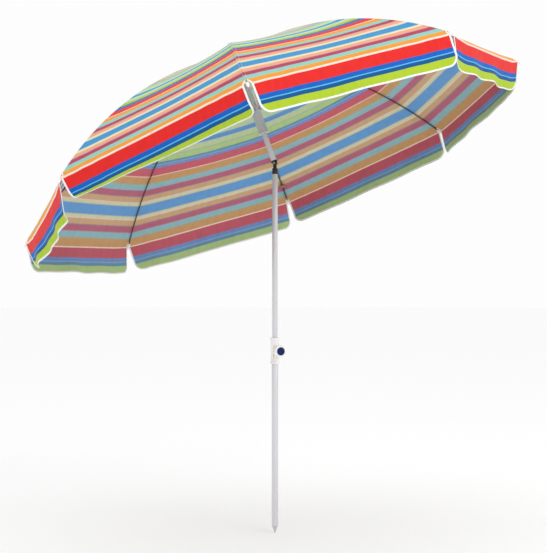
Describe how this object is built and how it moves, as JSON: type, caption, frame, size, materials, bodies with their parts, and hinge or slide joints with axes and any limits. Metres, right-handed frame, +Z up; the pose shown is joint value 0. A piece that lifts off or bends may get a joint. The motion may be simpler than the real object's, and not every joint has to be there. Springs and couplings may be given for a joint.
{
  "type": "beach umbrella",
  "caption": "Tilting beach umbrella with a bowed octagonal striped canopy, hanging flaps, a telescopic pole with a clamp knob and a ground spike.",
  "frame": {"origin": "bottom rim of the lower tube, on the pole's axis, where the ground spike starts", "axes": "+Z up the pole; the canopy leans towards -X, about a tilt pin along Y"},
  "size_m": [1.6, 1.6946, 1.7261],
  "materials": {
    "pole_metal": "satin light grey paint",
    "bright_metal": "zinc plate",
    "rib_metal": "dark grey paint",
    "white_plastic": "satin",
    "grey_plastic": "matt",
    "black_plastic": "matt",
    "blue_plastic": "gloss",
    "striped_fabric": "woven polyester, printed stripes",
    "webbing": "woven tape"
  },
  "bodies": {
    "pole": {"ground_spike": "pole_metal", "lower_tube": "pole_metal", "height_collar": "white_plastic", "collar_nut": "bright_metal"},
    "clamp_pad": {"pressure_pad": "black_plastic"},
    "clamp_knob": {"clamp_screw": "bright_metal", "knob_body": "white_plastic", "knob_cap": "blue_plastic"},
    "mast": {"middle_tube": "pole_metal", "end_bush": "black_plastic", "tilt_socket": "black_plastic"},
    "head": {"tilt_fork": "black_plastic", "tilt_pin": "bright_metal", "tilt_nut": "bright_metal", "upper_tube": "pole_metal", "crown": "white_plastic", "crown_ring": "bright_metal", "fabric_washer": "white_plastic", "finial": "white_plastic", "catch_spring": "bright_metal"},
    "runner": {"runner": "grey_plastic"},
    "rib_1": {"rib_1": "rib_metal", "rib_tip_1": "white_plastic", "canopy_1": "striped_fabric"},
    "stretcher_1": {"stretcher_1": "pole_metal"},
    "rib_2": {"rib_2": "rib_metal", "rib_tip_2": "white_plastic", "canopy_2": "striped_fabric"},
    "stretcher_2": {"stretcher_2": "pole_metal"},
    "rib_3": {"rib_3": "rib_metal", "rib_tip_3": "white_plastic", "canopy_3": "striped_fabric"},
    "stretcher_3": {"stretcher_3": "pole_metal"},
    "rib_4": {"rib_4": "rib_metal", "rib_tip_4": "white_plastic", "canopy_4": "striped_fabric"},
    "stretcher_4": {"stretcher_4": "pole_metal"},
    "rib_5": {"rib_5": "rib_metal", "rib_tip_5": "white_plastic", "canopy_5": "striped_fabric"},
    "stretcher_5": {"stretcher_5": "pole_metal"},
    "rib_6": {"rib_6": "rib_metal", "rib_tip_6": "white_plastic", "canopy_6": "striped_fabric", "closing_strap": "webbing"},
    "stretcher_6": {"stretcher_6": "pole_metal"},
    "rib_7": {"rib_7": "rib_metal", "rib_tip_7": "white_plastic", "canopy_7": "striped_fabric"},
    "stretcher_7": {"stretcher_7": "pole_metal"},
    "rib_8": {"rib_8": "rib_metal", "rib_tip_8": "white_plastic", "canopy_8": "striped_fabric"},
    "stretcher_8": {"stretcher_8": "pole_metal"}
  },
  "joints": [
    {"name": "knob_turn", "type": "hinge", "parent": "clamp_pad", "child": "clamp_knob", "pos_m": [0, 0, 0.603], "axis": [0.7771, -0.6293, 0], "range_deg": [0, 720]},
    {"name": "pad_slide", "type": "slide", "parent": "pole", "child": "clamp_pad", "axis": [0.7771, -0.6293, 0], "range_m": [0, 0.003]},
    {"name": "height_slide", "type": "slide", "parent": "pole", "child": "mast", "axis": [0, 0, 1], "range_m": [-0.44, 0.03]},
    {"name": "tilt", "type": "hinge", "parent": "mast", "child": "head", "pos_m": [0, 0, 1.252], "axis": [0, 1, 0], "range_deg": [0, 22]},
    {"name": "runner_slide", "type": "slide", "parent": "head", "child": "runner", "axis": [0.3746, 0, -0.9272], "range_m": [0, 0.058], "deforming": ["catch_spring"]},
    {"name": "rib_hinge_1", "type": "hinge", "parent": "head", "child": "rib_1", "pos_m": [-0.15896, -0.01478, 1.62909], "axis": [0.8566, -0.3827, 0.3461], "range_deg": [0, 43.5], "deforming": ["canopy_1"]},
    {"name": "stretcher_hinge_1", "type": "hinge", "parent": "rib_1", "child": "stretcher_1", "pos_m": [-0.17908, -0.08137, 1.60527], "axis": [0.8566, -0.3827, 0.3461], "range_deg": [-51.3, 0]},
    {"name": "rib_hinge_2", "type": "hinge", "parent": "head", "child": "rib_2", "pos_m": [-0.14761, -0.01478, 1.63368], "axis": [0.8566, 0.3827, 0.3461], "range_deg": [0, 43.5], "deforming": ["canopy_2"]},
    {"name": "stretcher_hinge_2", "type": "hinge", "parent": "rib_2", "child": "stretcher_2", "pos_m": [-0.11658, -0.08137, 1.63052], "axis": [0.8566, 0.3827, 0.3461], "range_deg": [-51.3, 0]},
    {"name": "rib_hinge_3", "type": "hinge", "parent": "head", "child": "rib_3", "pos_m": [-0.13958, -0.00612, 1.63693], "axis": [0.3548, 0.9239, 0.1434], "range_deg": [0, 43.5], "deforming": ["canopy_3"]},
    {"name": "stretcher_hinge_3", "type": "hinge", "parent": "rib_3", "child": "stretcher_3", "pos_m": [-0.07239, -0.0337, 1.64838], "axis": [0.3548, 0.9239, 0.1434], "range_deg": [-51.3, 0]},
    {"name": "rib_hinge_4", "type": "hinge", "parent": "head", "child": "rib_4", "pos_m": [-0.13958, 0.00612, 1.63693], "axis": [-0.3548, 0.9239, -0.1434], "range_deg": [0, 43.5], "deforming": ["canopy_4"]},
    {"name": "stretcher_hinge_4", "type": "hinge", "parent": "rib_4", "child": "stretcher_4", "pos_m": [-0.07239, 0.0337, 1.64838], "axis": [-0.3548, 0.9239, -0.1434], "range_deg": [-51.3, 0]},
    {"name": "rib_hinge_5", "type": "hinge", "parent": "head", "child": "rib_5", "pos_m": [-0.14761, 0.01478, 1.63368], "axis": [-0.8566, 0.3827, -0.3461], "range_deg": [0, 43.5], "deforming": ["canopy_5"]},
    {"name": "stretcher_hinge_5", "type": "hinge", "parent": "rib_5", "child": "stretcher_5", "pos_m": [-0.11658, 0.08137, 1.63052], "axis": [-0.8566, 0.3827, -0.3461], "range_deg": [-51.3, 0]},
    {"name": "rib_hinge_6", "type": "hinge", "parent": "head", "child": "rib_6", "pos_m": [-0.15896, 0.01478, 1.62909], "axis": [-0.8566, -0.3827, -0.3461], "range_deg": [0, 43.5], "deforming": ["canopy_6"]},
    {"name": "stretcher_hinge_6", "type": "hinge", "parent": "rib_6", "child": "stretcher_6", "pos_m": [-0.17908, 0.08137, 1.60527], "axis": [-0.8566, -0.3827, -0.3461], "range_deg": [-51.3, 0]},
    {"name": "rib_hinge_7", "type": "hinge", "parent": "head", "child": "rib_7", "pos_m": [-0.16699, 0.00612, 1.62585], "axis": [-0.3548, -0.9239, -0.1434], "range_deg": [0, 43.5], "deforming": ["canopy_7"]},
    {"name": "stretcher_hinge_7", "type": "hinge", "parent": "rib_7", "child": "stretcher_7", "pos_m": [-0.22328, 0.0337, 1.58741], "axis": [-0.3548, -0.9239, -0.1434], "range_deg": [-51.3, 0]},
    {"name": "rib_hinge_8", "type": "hinge", "parent": "head", "child": "rib_8", "pos_m": [-0.16699, -0.00612, 1.62585], "axis": [0.3548, -0.9239, 0.1434], "range_deg": [0, 43.5], "deforming": ["canopy_8"]},
    {"name": "stretcher_hinge_8", "type": "hinge", "parent": "rib_8", "child": "stretcher_8", "pos_m": [-0.22328, -0.0337, 1.58741], "axis": [0.3548, -0.9239, 0.1434], "range_deg": [-51.3, 0]}
  ],
  "couplings": [
    {"joint": "pad_slide", "follows": "knob_turn", "m_per_rad": 0.00023873},
    {"joint": "rib_hinge_1", "follows": "runner_slide", "rad_per_m": 13.01},
    {"joint": "stretcher_hinge_1", "follows": "runner_slide", "rad_per_m": -15.34},
    {"joint": "rib_hinge_2", "follows": "runner_slide", "rad_per_m": 13.01},
    {"joint": "stretcher_hinge_2", "follows": "runner_slide", "rad_per_m": -15.34},
    {"joint": "rib_hinge_3", "follows": "runner_slide", "rad_per_m": 13.01},
    {"joint": "stretcher_hinge_3", "follows": "runner_slide", "rad_per_m": -15.34},
    {"joint": "rib_hinge_4", "follows": "runner_slide", "rad_per_m": 13.01},
    {"joint": "stretcher_hinge_4", "follows": "runner_slide", "rad_per_m": -15.34},
    {"joint": "rib_hinge_5", "follows": "runner_slide", "rad_per_m": 13.01},
    {"joint": "stretcher_hinge_5", "follows": "runner_slide", "rad_per_m": -15.34},
    {"joint": "rib_hinge_6", "follows": "runner_slide", "rad_per_m": 13.01},
    {"joint": "stretcher_hinge_6", "follows": "runner_slide", "rad_per_m": -15.34},
    {"joint": "rib_hinge_7", "follows": "runner_slide", "rad_per_m": 13.01},
    {"joint": "stretcher_hinge_7", "follows": "runner_slide", "rad_per_m": -15.34},
    {"joint": "rib_hinge_8", "follows": "runner_slide", "rad_per_m": 13.01},
    {"joint": "stretcher_hinge_8", "follows": "runner_slide", "rad_per_m": -15.34}
  ]
}
